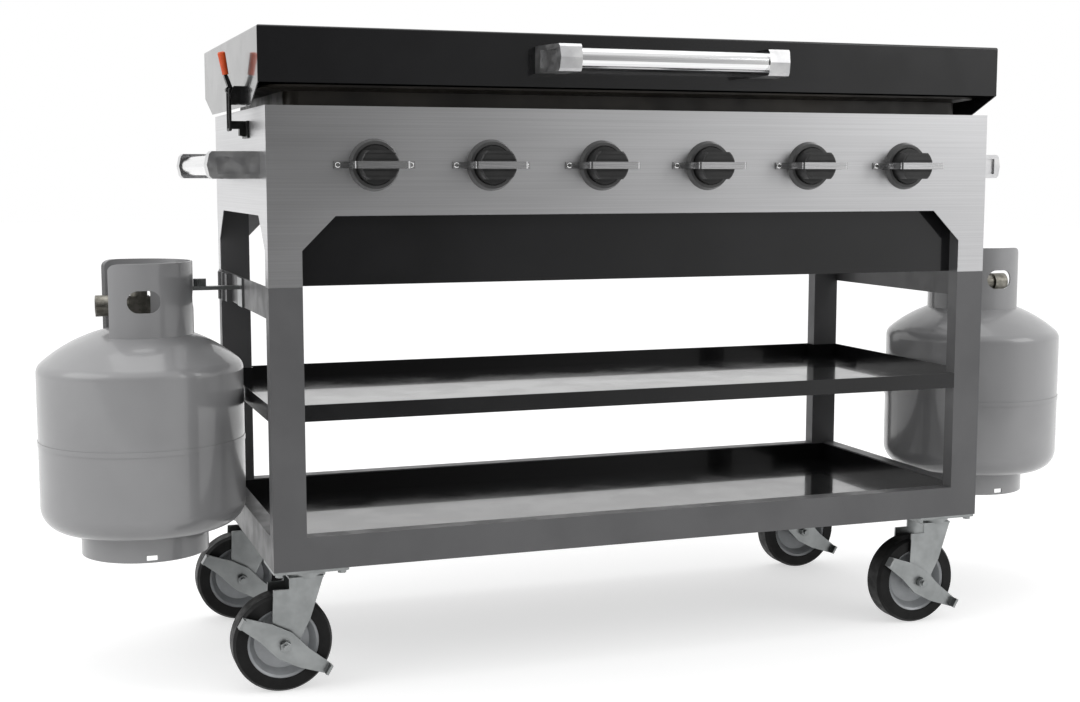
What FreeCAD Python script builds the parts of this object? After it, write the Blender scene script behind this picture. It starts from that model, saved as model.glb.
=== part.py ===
import FreeCAD, Part
import math
import os

# A wheeled outdoor flat top griddle with a hinged lid, six burners and two gas cylinders.
# Millimetres, +Z up, the front faces -Y, +X to the right.
# The origin is on the floor at the middle of the whole object.

os.makedirs("parts", exist_ok=True)
V = FreeCAD.Vector

# Cart
cart_width = 1215.0
cart_depth = 505.0
post_width = 50.0
post_depth = 25.0
post_wall = 3.0
rail_height = 50.0
rail_wall = 2.0
side_rail_width = 25.0
tray_floor_rise = 15.0
tray_lip_drop = 2.0
sheet = 1.5
shelf_bottom = 413.0
shelf_rim = 25.0
panel_bottom = 611.0
panel_height = 262.0
panel_flange = 20.0
cutout_height = 103.0
cutout_chamfer = 50.0
apron_height = 130.0
crossbar_height = 46.0
crossbar_thickness = 3.0
guide_rear_gap = 28.0
guide_length = 100.0
guide_standoff = 9.0
guide_bead = 4.5

# Griddle plate, burner box and gas train
pan_inset = 35.0
pan_corner = 20.0
pan_wall = 3.0
plate_thickness = 6.0
plate_drop = 23.0
pan_depth = 48.0
flange_inset = 4.0
flange_rise = 5.0
flange_thickness = 3.0
drain_width = 120.0
drain_height = 8.0
box_inset = 45.0
box_front = 75.0
box_height = 115.0
burner_count = 6
knob_pitch = 179.6
knob_rise = 177.0
burner_radius = 19.0
burner_drop = 48.0
burner_start = 64.0
burner_end_gap = 25.0
burner_hole_gap = 1.0
port_radius = 1.6
port_pitch = 30.0
port_count = 9
manifold_radius = 13.5
manifold_setback = 50.0
manifold_drop = 34.0
manifold_end_inset = 70.0
inlet_radius = 7.9
inlet_length = 20.0
inlet_below_cutout = 60.0
elbow_half = 10.0
valve_radius = 12.0
valve_length = 54.0
valve_flange = 3.0
stem_radius = 4.0
stem_reach = 25.0
jet_radius = 5.0
jet_rise = 7.0
stem_gap = 0.05

# Knobs, bezels and guards
bezel_radius = 38.5
bezel_front_radius = 35.0
bezel_depth = 9.0
bezel_recess = 5.0
knob_radius = 28.5
knob_gap = 2.0
knob_depth = 36.0
knob_skirt = 9.0
knob_grip_half = 21.0
knob_round = 3.0
guard_height = 10.5
guard_thickness = 2.0
guard_half = 41.0
guard_reach = 55.0
guard_foot = 20.0
guard_bend = 4.0
screw_offset = 55.0
screw_radius = 2.0
screw_head = 4.2
screw_head_height = 2.6
screw_gap = 0.1

# Lid
lid_height = 80.0
lid_lift = 32.0
lid_side_overhang = 11.0
lid_front_overhang = 7.5
lid_rear_overhang = 39.0
lid_skirt_gap = 2.0
lid_front_slope = 68.0
lid_rear_slope = 85.0
lid_sheet = 1.5
lid_edge_round = 3.0
hinge_inset = 150.0
hinge_setback = 12.0
hinge_rise = 20.0
hinge_pin_radius = 4.0
hinge_eye = 9.0
hinge_lug = 6.0
hinge_arm_rise = 40.0
hinge_ear = 3.0
hinge_gap = 0.5
hinge_plate_width = 60.0
hinge_plate_height = 36.0
hinge_plate_drop = 2.0

# Handles, all three alike
handle_length = 376.0
handle_reach = 75.0
bracket_width = 34.0
bracket_flare = 14.0
bracket_half = 20.0
bracket_bevel = 4.0
bracket_ridge = 3.5
tube_radius = 15.0
tube_setback = 18.0
pocket_depth = 3.5
pocket_margin = 7.0

# Lid latches, one on each side
latch_from_front = 168.0
latch_base_width = 34.0
latch_base_height = 27.0
latch_base_rise = 5.0
latch_plate = 3.0
latch_pivot_out = 9.5
latch_pivot_rise = 13.5
latch_pin_radius = 2.5
latch_pin_gap = 0.1
latch_arm_width = 12.0
latch_arm_thickness = 3.0
latch_arm_out = 9.5
latch_arm_up = 29.0
latch_hub = 5.8
grip_radius = 6.0
grip_length = 34.0
grip_lean = 6.0
grip_bore_gap = 0.15
tang_radius = 3.0
tang_short = 4.0
hook_out = 5.5
hook_up = 8.0
hook_spacing = 20.0
hook_rod = 2.3
hook_weld = 0.15
catch_rise = 44.0
catch_width = 50.0
catch_height = 26.0
catch_nose_height = 12.0
catch_gap = 0.6
catch_side_gap = 1.2

# Casters
wheel_radius = 75.0
tyre_width = 42.0
rim_radius = 54.0
rim_width = 34.0
rim_web = 5.0
hub_radius = 15.0
tyre_crown = 4.0
caster_height = 190.0
caster_trail = 40.0
fork_shoulder = 84.0
fork_toe = 36.0
caster_inset_x = 57.0
caster_inset_y = 47.5
mount_plate_x = 114.0
mount_plate_y = 95.0
mount_plate = 4.0
mount_bolt_radius = 4.0
mount_bolt_inset = 10.0
bolt_head_radius = 6.5
bolt_head_height = 5.0
race_radius = 31.0
race_height = 10.0
race_gap = 0.4
kingpin_radius = 6.0
kingpin_head = 9.0
fork_sheet = 3.0
fork_gap = 3.0
fork_eye = 19.0
axle_radius = 5.0
axle_gap = 0.05
axle_reach = 49.0
nut_radius = 9.0
nut_height = 8.0
brake_sheet = 3.0
brake_standoff = 5.0
brake_half_length = 78.0
brake_half_width = 22.0
brake_tip_width = 10.0
brake_tilt = 31.0
brake_pedal = 12.0

# Gas cylinders
tank_radius = 158.0
tank_height = 457.0
tank_side_gap = 1.5
tank_wall = 3.0
shoulder_drop = 170.0
head_crown = 230.0
head_knuckle = 20.0
base_rise = 79.0
base_crown = 700.0
base_knuckle = 38.0
foot_ring_radius = 98.0
drain_half_width = 8.0
drain_low = 3.0
drain_high = 11.0
collar_radius = 83.0
collar_gap_angle = 104.0
collar_corner = 11.0
slot_width = 50.0
slot_height = 34.0
slot_drop = 41.0
band_rise = 178.0
band_height = 8.0
band_proud = 1.0
boss_radius = 22.0
boss_height = 14.0
boss_bore = 14.0
valve_body_radius = 13.0
valve_body_height = 48.0
outlet_radius = 16.5
outlet_height = 30.0
outlet_start = 40.0
outlet_length = 26.0
handwheel_radius = 30.0
handwheel_height = 14.0
handwheel_lobes = 6
hanger_drop = 12.3
hanger_thickness = 6.0
hanger_gap = 0.3
hanger_lip = 6.0
hanger_reach = 10.0
hanger_plate = 3.0
hanger_plate_half = 22.0
thumb_radius = 10.0
thumb_height = 12.0
thumb_from_collar = 11.0

# Grease cup on the rear panel
cup_width = 200.0
cup_height = 80.0
cup_sheet = 1.5
cup_gap = 2.0
cup_drop = 50.0
chute_gap = 1.0

# Places worked out from the sizes above
x_left = -cart_width / 2
x_right = cart_width / 2
y_front = -(cart_depth + lid_rear_overhang - lid_front_overhang - handle_reach) / 2
y_rear = y_front + cart_depth
y_middle = (y_front + y_rear) / 2
panel_top = panel_bottom + panel_height
cutout_top = panel_bottom + cutout_height
plate_bottom = panel_top - plate_drop
plate_top = plate_bottom + plate_thickness
pan_top = plate_bottom + pan_depth
lid_bottom = panel_top + lid_lift
lid_top = lid_bottom + lid_height
skirt_bottom = panel_top + lid_skirt_gap
lid_front = y_front - lid_front_overhang
lid_rear = y_rear + lid_rear_overhang
knob_height = panel_bottom + knob_rise
burner_height = plate_bottom - burner_drop
hanger_level = panel_bottom - hanger_drop
tank_top = hanger_level + hanger_gap + slot_drop
tank_bottom = tank_top - tank_height
knob_xs = [(i - (burner_count - 1) / 2) * knob_pitch for i in range(burner_count)]


def box(x0, x1, y0, y1, z0, z1):
    return Part.makeBox(x1 - x0, y1 - y0, z1 - z0, V(x0, y0, z0))


def rod(start, end, radius):
    start, end = V(*start), V(*end)
    return Part.makeCylinder(radius, (end - start).Length, start, end - start)


def prism(points, direction):
    corners = [V(*p) for p in points]
    return Part.Face(Part.makePolygon(corners + corners[:1])).extrude(V(*direction))


def fuse(shapes):
    whole = shapes[0]
    for shape in shapes[1:]:
        whole = whole.fuse(shape)
    return whole.removeSplitter()


def cut(shape, tools):
    for tool in tools:
        shape = shape.cut(tool)
    return shape


def mirror_x(shape):
    return shape.mirror(V(0, 0, 0), V(1, 0, 0))


def both_sides(shapes):
    return shapes + [mirror_x(s) for s in shapes]


def save(name, shapes):
    solids = [s for shape in shapes for s in shape.Solids]
    whole = solids[0] if len(solids) == 1 else Part.makeCompound(solids)
    whole.exportStep("parts/" + name + ".step")


def rounded_wire(inset, radius, z):
    """A rounded rectangle, inset from the cart's outline, at height z."""
    x0, x1 = x_left + inset, x_right - inset
    y0, y1 = y_front + inset, y_rear - inset
    k = radius * (1 - math.sqrt(0.5))
    edges = []
    corners = [(x0, y0, 1, 1), (x1, y0, -1, 1), (x1, y1, -1, -1), (x0, y1, 1, -1)]
    ends = []
    for i, (cx, cy, sx, sy) in enumerate(corners):
        along_y = V(cx, cy + sy * radius, z)
        along_x = V(cx + sx * radius, cy, z)
        first, last = (along_y, along_x) if i % 2 == 0 else (along_x, along_y)
        middle = V(cx + sx * k, cy + sy * k, z)
        edges.append(Part.Arc(first, middle, last).toShape())
        ends.append((first, last))
    for i in range(4):
        edges.append(Part.LineSegment(ends[i][1], ends[(i + 1) % 4][0]).toShape())
    return Part.Wire(Part.__sortEdges__(edges))


def rounded_prism(inset, radius, z0, z1):
    return Part.Face(rounded_wire(inset, radius, z0)).extrude(V(0, 0, z1 - z0))


def rounded_cone(inset0, radius0, z0, inset1, radius1, z1):
    wires = [rounded_wire(inset0, radius0, z0), rounded_wire(inset1, radius1, z1)]
    return Part.makeLoft(wires, True, True)


def notched_panel(along, length, near, top):
    """Points of a panel with a chamfered opening at its foot, as (along, z) pairs."""
    c = cutout_chamfer
    return [(along, panel_bottom), (along, top), (along + length, top), (along + length, panel_bottom),
            (along + length - near, panel_bottom), (along + length - near, cutout_top - c),
            (along + length - near - c, cutout_top), (along + near + c, cutout_top),
            (along + near, cutout_top - c), (along + near, panel_bottom)]


def front_and_rear_panels():
    outline = notched_panel(x_left, cart_width, post_width, panel_top)
    front = prism([(x, y_front, z) for x, z in outline], (0, sheet, 0))
    rear = prism([(x, y_rear - sheet, z) for x, z in outline], (0, sheet, 0))
    flange_x0, flange_x1 = x_left + sheet, x_right - sheet
    z0 = panel_top - sheet
    front = front.fuse(box(flange_x0, flange_x1, y_front, y_front + panel_flange, z0, panel_top))
    rear = rear.fuse(box(flange_x0, flange_x1, y_rear - panel_flange, y_rear, z0, panel_top))
    holes = []
    for x in knob_xs:
        holes.append(rod((x, y_front - 1, knob_height), (x, y_front + 5, knob_height), stem_radius + 1))
        for side in (-1, 1):
            sx = x + side * screw_offset
            holes.append(rod((sx, y_front - 1, knob_height), (sx, y_front + 5, knob_height), screw_radius + screw_gap))
    half = drain_width / 2 + sheet + chute_gap
    chute_slot = box(-half, half, y_rear - 2 * sheet, y_rear + 1, plate_top - sheet - chute_gap,
                     plate_top + drain_height + chute_gap)
    save("front_panel", [cut(front, holes)])
    save("rear_panel", [rear.cut(chute_slot)])


def side_panels():
    outline = notched_panel(y_front + sheet, cart_depth - 2 * sheet, post_depth - sheet, panel_top)
    left = prism([(x_left, y, z) for y, z in outline], (sheet, 0, 0))
    save("side_panels", both_sides([left]))


def apron():
    y0 = y_front + post_depth
    save("apron", [box(x_left + sheet, x_right - sheet, y0, y0 + sheet, panel_bottom, panel_bottom + apron_height)])


def corner_posts():
    posts = []
    for y_out, step in ((y_front, 1), (y_rear, -1)):
        y_in = y_out + step * post_depth
        y_skin = y_out + step * sheet
        y_hollow = [y_out + step * post_wall, y_in - step * post_wall]
        top = panel_top - 2 * sheet
        lower = box(x_left, x_left + post_width, min(y_out, y_in), max(y_out, y_in), caster_height, panel_bottom)
        upper = box(x_left + sheet, x_left + post_width, min(y_skin, y_in), max(y_skin, y_in), panel_bottom, top)
        hollow = box(x_left + post_wall, x_left + post_width - post_wall, min(y_hollow), max(y_hollow),
                     caster_height + post_wall, top + 1)
        posts.append(fuse([lower, upper]).cut(hollow))
    save("corner_posts", both_sides(posts))


def hollow_bar(x0, x1, y0, y1, z0, z1, wall, along):
    inner = [x0, x1, y0, y1, z0, z1]
    for axis in range(3):
        if axis == along:
            inner[2 * axis] -= 1
            inner[2 * axis + 1] += 1
        else:
            inner[2 * axis] += wall
            inner[2 * axis + 1] -= wall
    return box(x0, x1, y0, y1, z0, z1).cut(box(*inner))


def lower_rails():
    z0, z1 = caster_height, caster_height + rail_height
    xi = x_left + post_width
    long_rails = [hollow_bar(xi, -xi, y_front, y_front + post_depth, z0, z1, rail_wall, 0),
                  hollow_bar(xi, -xi, y_rear - post_depth, y_rear, z0, z1, rail_wall, 0)]
    short = hollow_bar(x_left, x_left + side_rail_width, y_front + post_depth, y_rear - post_depth, z0, z1, rail_wall, 1)
    save("lower_rails", long_rails + both_sides([short]))


def lower_tray():
    x0 = x_left + side_rail_width
    y0, y1 = y_front + post_depth, y_rear - post_depth
    z0 = caster_height + tray_floor_rise
    z1 = caster_height + rail_height - tray_lip_drop
    outer = box(x0, -x0, y0, y1, z0, z1)
    inner = box(x0 + sheet, -x0 - sheet, y0 + sheet, y1 - sheet, z0 + sheet, z1 + 1)
    save("lower_tray", [outer.cut(inner)])


def notched_block(inset, z0, z1):
    """The cart's footprint, inset, less the four posts."""
    block = box(x_left + inset, x_right - inset, y_front + inset, y_rear - inset, z0, z1)
    w, d = post_width + inset, post_depth + inset
    corners = []
    for x in (x_left, x_right - w):
        for y in (y_front, y_rear - d):
            corners.append(box(x, x + w, y, y + d, z0 - 1, z1 + 1))
    return cut(block, corners)


def middle_shelf():
    outer = notched_block(0, shelf_bottom, shelf_bottom + shelf_rim)
    inner = notched_block(sheet, shelf_bottom + sheet, shelf_bottom + shelf_rim + 1)
    save("middle_shelf", [outer.cut(inner)])


def crossbars():
    z0, z1 = panel_bottom - crossbar_height, panel_bottom
    bar = box(x_left, x_left + crossbar_thickness, y_front + post_depth, y_rear - post_depth, z0, z1)
    y1 = y_rear - post_depth - guide_rear_gap
    y0 = y1 - guide_length
    out = x_left - guide_standoff
    t = crossbar_thickness
    guide = fuse([box(out, out + t, y0, y1, z0, z1), box(out, x_left, y0, y0 + t, z0, z1),
                  box(out, x_left, y1 - t, y1, z0, z1)])
    for share in (0.3, 0.7):
        y = y0 + guide_length * share
        guide = guide.fuse(rod((out, y, z0), (out, y, z1), guide_bead))
    guide = guide.cut(box(out + t, x_left, y0 + t, y1 - t, z0 - 1, z1 + 1))
    save("crossbars", both_sides([bar.fuse(guide).removeSplitter()]))


def cells(shape, xs, ys, z0, z1):
    """The pieces of a shape between neighbouring planes of xs and ys, from z0 to z1."""
    pieces = []
    for xa, xb in zip(xs, xs[1:]):
        for ya, yb in zip(ys, ys[1:]):
            pieces += shape.common(box(xa, xb, ya, yb, z0, z1)).Solids
    return pieces


def griddle_plate():
    """The plate, four straight rims and four corner pieces, welded, and the drain chute."""
    outer = rounded_prism(pan_inset, pan_corner, plate_bottom, pan_top)
    spread = pan_inset - flange_inset
    wide = pan_corner + spread
    rim_low = pan_top - flange_thickness
    rim_high = rim_low + flange_rise
    flare = rounded_cone(pan_inset, pan_corner, rim_low, flange_inset, wide, rim_high)
    rim = rounded_prism(flange_inset, wide, rim_high, rim_high + flange_thickness)
    inner_inset = pan_inset + pan_wall
    inner_corner = pan_corner - pan_wall
    inner = rounded_prism(inner_inset, inner_corner, plate_top, rim_high + flange_thickness + 1)
    slope = rounded_cone(inner_inset, inner_corner, pan_top, flange_inset + flange_thickness,
                         wide - flange_thickness, rim_high + flange_thickness)
    plate = fuse([outer, flare, rim]).cut(inner).cut(slope)
    half = drain_width / 2
    y_wall = y_rear - pan_inset
    drain = box(-half, half, y_wall - 2 * pan_wall, y_wall + 1, plate_top, plate_top + drain_height)
    chute_end = y_rear + cup_gap + cup_depth() / 3
    chute = box(-half - sheet, half + sheet, y_wall, chute_end, plate_top - sheet, plate_top)
    for x in (-half - sheet, half):
        chute = chute.fuse(box(x, x + sheet, y_wall, chute_end, plate_top, plate_top + drain_height - chute_gap))
    base = cells(plate, [x_left, x_right], [y_front, y_rear], plate_bottom, plate_top)
    bend = pan_inset + pan_corner
    xs = [x_left, x_left + bend, x_right - bend, x_right]
    ys = [y_front, y_front + bend, y_rear - bend, y_rear]
    rims = cells(plate.cut(drain), xs, ys, plate_top, rim_high + flange_thickness)
    save("griddle_plate", base + rims + [chute.removeSplitter()])


def burner_box():
    x0 = x_left + box_inset
    y0, y1 = y_front + box_front, y_rear - box_inset
    z0, z1 = plate_bottom - box_height, plate_bottom
    outer = box(x0, -x0, y0, y1, z0, z1)
    inner = box(x0 + sheet, -x0 - sheet, y0 + sheet, y1 - sheet, z0 + sheet, z1 + 1)
    ledge = box(x_left + sheet, x0 + sheet, y0, y1, z1 - sheet, z1)
    shell = fuse([outer.cut(inner), ledge, mirror_x(ledge)])
    z = burner_height
    holes = [rod((x, y0 - 1, z), (x, y0 + 2 * sheet, z), burner_radius + burner_hole_gap) for x in knob_xs]
    feet = [box(x - 12, x + 12, y1 - 30, y1 - sheet, z0 + sheet, z - burner_radius + 1) for x in knob_xs]
    front_feet = [box(x - 12, x + 12, y0 + sheet, y0 + 12, z0 + sheet, z - burner_radius + 1) for x in knob_xs]
    tubes = [burner_solid(x) for x in knob_xs]
    rests = [foot.cut(tube) for foot, tube in zip(feet + front_feet, tubes + tubes)]
    save("burner_box", [fuse([cut(shell, holes)] + rests)])


def burner_solid(x):
    y0, y1 = y_front + burner_start, y_rear - box_inset - burner_end_gap
    return rod((x, y0, burner_height), (x, y1, burner_height), burner_radius)


def burners():
    tubes = []
    z = burner_height
    y1 = y_rear - box_inset - burner_end_gap
    for x in knob_xs:
        bore = rod((x, y_front + burner_start - 1, z), (x, y1 - sheet, z), burner_radius - sheet)
        tube = burner_solid(x).cut(bore)
        ports = []
        for i in range(port_count):
            y = y1 - port_pitch * (i + 1)
            ports.append(rod((x, y, z), (x, y, z + burner_radius + 1), port_radius))
        tubes.append(cut(tube, ports))
    save("burners", tubes)


def gas_train():
    y = y_front + manifold_setback
    z = knob_height - manifold_drop
    x0 = x_left + manifold_end_inset
    pipe = rod((x0, y, z), (-x0, y, z), manifold_radius)
    bore = rod((x0 + sheet * 2, y, z), (-x0 - sheet * 2, y, z), manifold_radius - 2 * sheet)
    z_inlet = cutout_top - inlet_below_cutout
    x_drop = x0 + manifold_radius
    e = elbow_half
    drop = rod((x_drop, y, z), (x_drop, y, z_inlet), inlet_radius)
    elbow = box(x_drop - e, x_drop + e, y - e, y + e, z_inlet - e, z_inlet + e)
    inlet = rod((x_drop, y, z_inlet), (x_drop - e - inlet_length, y, z_inlet), inlet_radius)
    valves = []
    sockets = []
    for x in knob_xs:
        yb = y_front + sheet
        flange = box(x - 18, x + 18, yb, yb + valve_flange, knob_height - 14, knob_height + 14)
        body = rod((x, yb, knob_height), (x, yb + valve_length, knob_height), valve_radius)
        leg = rod((x, y, knob_height), (x, y, z + manifold_radius - sheet), inlet_radius)
        stem = rod((x, yb, knob_height), (x, y_front - stem_reach, knob_height), stem_radius)
        jet = rod((x, yb + valve_length - 8, knob_height + jet_rise), (x, y_front + burner_start + 6, burner_height),
                  jet_radius)
        valves.append(fuse([flange, body, leg, stem, jet]))
        sockets.append(leg)
    pieces = [pipe.cut(bore)] + both_sides([drop.cut(pipe), elbow, inlet])
    save("gas_manifold", [cut(fuse(pieces), sockets)])
    save("gas_valves", valves)


def knob_bezel(x):
    axis = V(0, -1, 0)
    cone = Part.makeCone(bezel_radius, bezel_front_radius, bezel_depth, V(x, y_front, knob_height), axis)
    recess = rod((x, y_front - bezel_depth - 1, knob_height), (x, y_front - bezel_depth + bezel_recess, knob_height),
                 knob_radius + knob_gap)
    hole = rod((x, y_front + 1, knob_height), (x, y_front - bezel_depth, knob_height), stem_radius + 1)
    return cut(cone, [recess, hole])


def knob(x):
    back = y_front - bezel_depth + bezel_recess - 0.3
    front = back - knob_depth
    body = rod((x, back, knob_height), (x, front, knob_height), knob_radius)
    edges = [e for e in body.Edges if abs(e.CenterOfMass.y - front) < 0.01]
    body = body.makeFillet(knob_round, edges)
    skirt_front = back - knob_skirt
    flats = []
    for side in (-1, 1):
        z0 = knob_height + side * knob_grip_half
        z1 = knob_height + side * (knob_radius + 1)
        flats.append(box(x - knob_radius, x + knob_radius, front - 1, skirt_front, min(z0, z1), max(z0, z1)))
    for step in (-2, -1, 1, 2):
        z = knob_height + step * knob_grip_half / 2.6
        flats.append(box(x - knob_radius, x + knob_radius, front - 1, front + 1.2, z - 0.8, z + 0.8))
    bore = rod((x, back + 1, knob_height), (x, y_front - stem_reach - 0.3, knob_height), stem_radius + stem_gap)
    return cut(body, flats + [bore])


def guard_block(x, half, reach, bend):
    """A block in front of the panel with its two front upright edges rounded."""
    z0 = knob_height - guard_height / 2
    block = box(x - half, x + half, y_front - reach, y_front, z0, z0 + guard_height)
    front = [e for e in block.Edges if abs(e.CenterOfMass.y - (y_front - reach)) < 0.01
             and abs(abs(e.CenterOfMass.x - x) - half) < 0.01]
    return block.makeFillet(bend, front)


def knob_guard(x):
    t = guard_thickness
    hoop = guard_block(x, guard_half, guard_reach, guard_bend)
    hollow = guard_block(x, guard_half - t, guard_reach - t, guard_bend - t)
    z0 = knob_height - guard_height / 2
    feet = []
    holes = []
    for side in (-1, 1):
        near, far = x + side * (guard_half - t), x + side * (guard_half + guard_foot)
        feet.append(box(min(near, far), max(near, far), y_front - t, y_front, z0, z0 + guard_height))
        sx = x + side * screw_offset
        holes.append(rod((sx, y_front + 1, knob_height), (sx, y_front - t - 1, knob_height), screw_radius + screw_gap))
    return cut(fuse([hoop.cut(hollow)] + feet), holes)


def guard_screw(x):
    y0 = y_front - guard_thickness
    head = rod((x, y0, knob_height), (x, y0 - screw_head_height, knob_height), screw_head)
    rim = [e for e in head.Edges if abs(e.CenterOfMass.y - (y0 - screw_head_height)) < 0.01]
    head = head.makeFillet(screw_head_height * 0.6, rim)
    shank = rod((x, y0, knob_height), (x, y_front + 4 * sheet, knob_height), screw_radius)
    slot = box(x - screw_head, x + screw_head, y0 - screw_head_height - 1, y0 - screw_head_height * 0.6,
               knob_height - 0.4, knob_height + 0.4)
    return head.fuse(shank).cut(slot)


def controls():
    save("knob_bezels", [knob_bezel(x) for x in knob_xs])
    save("knob_guards", [knob_guard(x) for x in knob_xs])
    save("guard_screws", [guard_screw(x + s * screw_offset) for x in knob_xs for s in (-1, 1)])
    for i, x in enumerate(knob_xs):
        save("knob_%d" % (i + 1), [knob(x)])


def handle():
    """One handle along +X about the middle, standing out of the plane y = 0 towards -Y."""
    half = handle_length / 2
    r, h, b = handle_reach, bracket_half, bracket_bevel
    profile = [(0, h), (-(r - bracket_ridge - b), h), (-(r - bracket_ridge), h - b), (-r, 0),
               (-(r - bracket_ridge), -(h - b)), (-(r - bracket_ridge - b), -h), (0, -h)]
    end_shape = [(-half - bracket_flare, 0), (-half + bracket_width, 0), (-half + bracket_width, -r), (-half, -r)]
    blank = prism([(-half - bracket_flare, y, z) for y, z in profile], (bracket_width + bracket_flare, 0, 0))
    block = prism([(x, y, -h) for x, y in end_shape], (0, 0, 2 * h))
    bracket = blank.common(block)
    slant = math.degrees(math.atan2(bracket_flare, r))
    m = pocket_margin
    pocket = box(-half - 20, -half + pocket_depth, -r + 2 * m, -2 * m, -h + m, h - m)
    pocket.rotate(V(-half, -r, 0), V(0, 0, 1), slant)
    bracket = bracket.cut(pocket)
    y_tube = -(r - tube_setback)
    reach = half - bracket_width
    tube = rod((-reach, y_tube, 0), (reach, y_tube, 0), tube_radius)
    bore = rod((-reach - 1, y_tube, 0), (reach + 1, y_tube, 0), tube_radius - 2 * sheet)
    return [bracket, mirror_x(bracket), tube.cut(bore)]


def placed(shapes, turn, place):
    moved = []
    for shape in shapes:
        copy = shape.copy()
        copy.rotate(V(0, 0, 0), V(0, 0, 1), turn)
        copy.translate(V(*place))
        moved.append(copy)
    return moved


def handles():
    side = placed(handle(), -90, (x_left, y_middle, knob_height))
    save("side_handles", both_sides(side))
    save("lid_handle", placed(handle(), 0, (0, lid_front, (lid_bottom + lid_top) / 2)))


def hinge_place():
    return y_rear + hinge_setback, panel_top + hinge_rise


def lid_shell():
    """Five welded panels with a hinge lug on each side."""
    x0, x1 = x_left - lid_side_overhang, x_right + lid_side_overhang
    side = [(lid_front, lid_bottom), (lid_front, lid_top), (lid_rear, lid_top), (lid_rear, lid_bottom),
            (lid_rear - lid_rear_slope, skirt_bottom), (lid_front + lid_front_slope, skirt_bottom)]
    blank = prism([(x0, y, z) for y, z in side], (x1 - x0, 0, 0))
    top_edges = [e for e in blank.Edges if abs(e.CenterOfMass.z - lid_top) < 0.01]
    blank = blank.makeFillet(lid_edge_round, top_edges)
    t = lid_sheet
    low = skirt_bottom - 10
    hollow = box(x0 + t, x1 - t, lid_front + t, lid_rear - t, low, lid_top - t)
    shell = blank.cut(hollow)
    shell = shell.cut(box(x0 + t, x1 - t, lid_front - 1, lid_rear + 1, low, lid_bottom))
    under = lid_top - t
    top = cells(shell, [x0, x1], [lid_front, lid_rear], under, lid_top)
    ends = cells(shell, [x0, x0 + t], [lid_front, lid_rear], low, under)
    long_walls = cells(shell, [x0 + t, x1 - t], [lid_front, y_middle, lid_rear], low, under)
    y, z = hinge_place()
    lugs = []
    for x in (-hinge_x(), hinge_x()):
        xa = x - hinge_lug / 2
        eye = rod((xa, y, z), (xa + hinge_lug, y, z), hinge_eye)
        arm = prism([(xa, y - hinge_eye * 0.7, z + hinge_eye * 0.7), (xa, y + hinge_eye * 0.7, z - hinge_eye * 0.7),
                     (xa, lid_rear - t, lid_bottom + 1), (xa, lid_rear - t, lid_bottom + hinge_arm_rise)], (hinge_lug, 0, 0))
        bore = rod((xa - 1, y, z), (xa + hinge_lug + 1, y, z), hinge_pin_radius + stem_gap)
        lugs.append(eye.fuse(arm).cut(bore))
    save("lid_shell", top + both_sides(ends) + long_walls + lugs)


def hinge_x():
    return x_right - hinge_inset


def lid_hinges():
    y, z = hinge_place()
    pieces = []
    for x in (-hinge_x(), hinge_x()):
        top = panel_top - hinge_plate_drop
        half = hinge_plate_width / 2
        plate = box(x - half, x + half, y_rear, y_rear + hinge_ear, top - hinge_plate_height, top)
        bracket = plate
        inner = hinge_lug / 2 + hinge_gap
        for x0 in (x - inner - hinge_ear, x + inner):
            eye = rod((x0, y, z), (x0 + hinge_ear, y, z), hinge_eye)
            web = prism([(x0, y_rear, top - hinge_plate_height), (x0, y_rear, top), (x0, y - hinge_eye, z),
                         (x0, y + hinge_eye, z)], (hinge_ear, 0, 0))
            bracket = bracket.fuse(eye).fuse(web)
        ends = inner + hinge_ear
        bore = rod((x - ends - 1, y, z), (x + ends + 1, y, z), hinge_pin_radius)
        pin = rod((x - ends - 2, y, z), (x + ends + 2, y, z), hinge_pin_radius)
        pieces.append(bracket.cut(bore).fuse(pin).removeSplitter())
    save("lid_hinges", pieces)


def latch_base():
    """The clamp foot on the left side of the lid."""
    face = x_left - lid_side_overhang
    y = y_front + latch_from_front
    half = latch_base_width / 2
    z0 = skirt_bottom + latch_base_rise
    z1 = z0 + latch_base_height
    px, pz = latch_pivot()
    plate = box(face - latch_plate, face, y - half, y + half, z0, z1)
    ears = []
    for y0 in (y - half, y + half - latch_plate):
        ear = prism([(face, y0, z0), (face, y0, z1), (px, y0, z1), (px - latch_hub, y0, pz), (px - latch_hub / 2, y0, z0)],
                    (0, latch_plate, 0))
        ears.append(ear)
    whole = fuse([plate] + ears)
    return whole.cut(rod((px, y - half - 1, pz), (px, y + half + 1, pz), latch_pin_radius + latch_pin_gap))


def latch_pivot():
    return (x_left - lid_side_overhang - latch_pivot_out, skirt_bottom + latch_base_rise + latch_pivot_rise)


def hook_pivot():
    px, pz = latch_pivot()
    return px - hook_out, pz + hook_up


def latch_arm():
    y = y_front + latch_from_front
    px, pz = latch_pivot()
    hx, hz = hook_pivot()
    half = latch_arm_width / 2
    width = latch_base_width / 2
    hub = rod((px, y - half, pz), (px, y + half, pz), latch_hub)
    pin = rod((px, y - width, pz), (px, y + width, pz), latch_pin_radius)
    knuckle = rod((hx, y - half, hz), (hx, y + half, hz), latch_hub * 0.85)
    ax, az = grip_foot()
    t = latch_arm_thickness
    shank = prism([(px - latch_hub * 0.6, y - half, pz + 2), (px + latch_hub * 0.6, y - half, pz + 2),
                   (ax + t, y - half, az), (ax - t, y - half, az)], (0, latch_arm_width, 0))
    tang = rod(along_grip(-0.1), along_grip(1 - tang_short / grip_length), tang_radius)
    cross_bore = rod((hx, y - half - 1, hz), (hx, y + half + 1, hz), hook_rod + latch_pin_gap)
    return fuse([hub, pin, knuckle, shank, tang]).cut(cross_bore)


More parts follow.
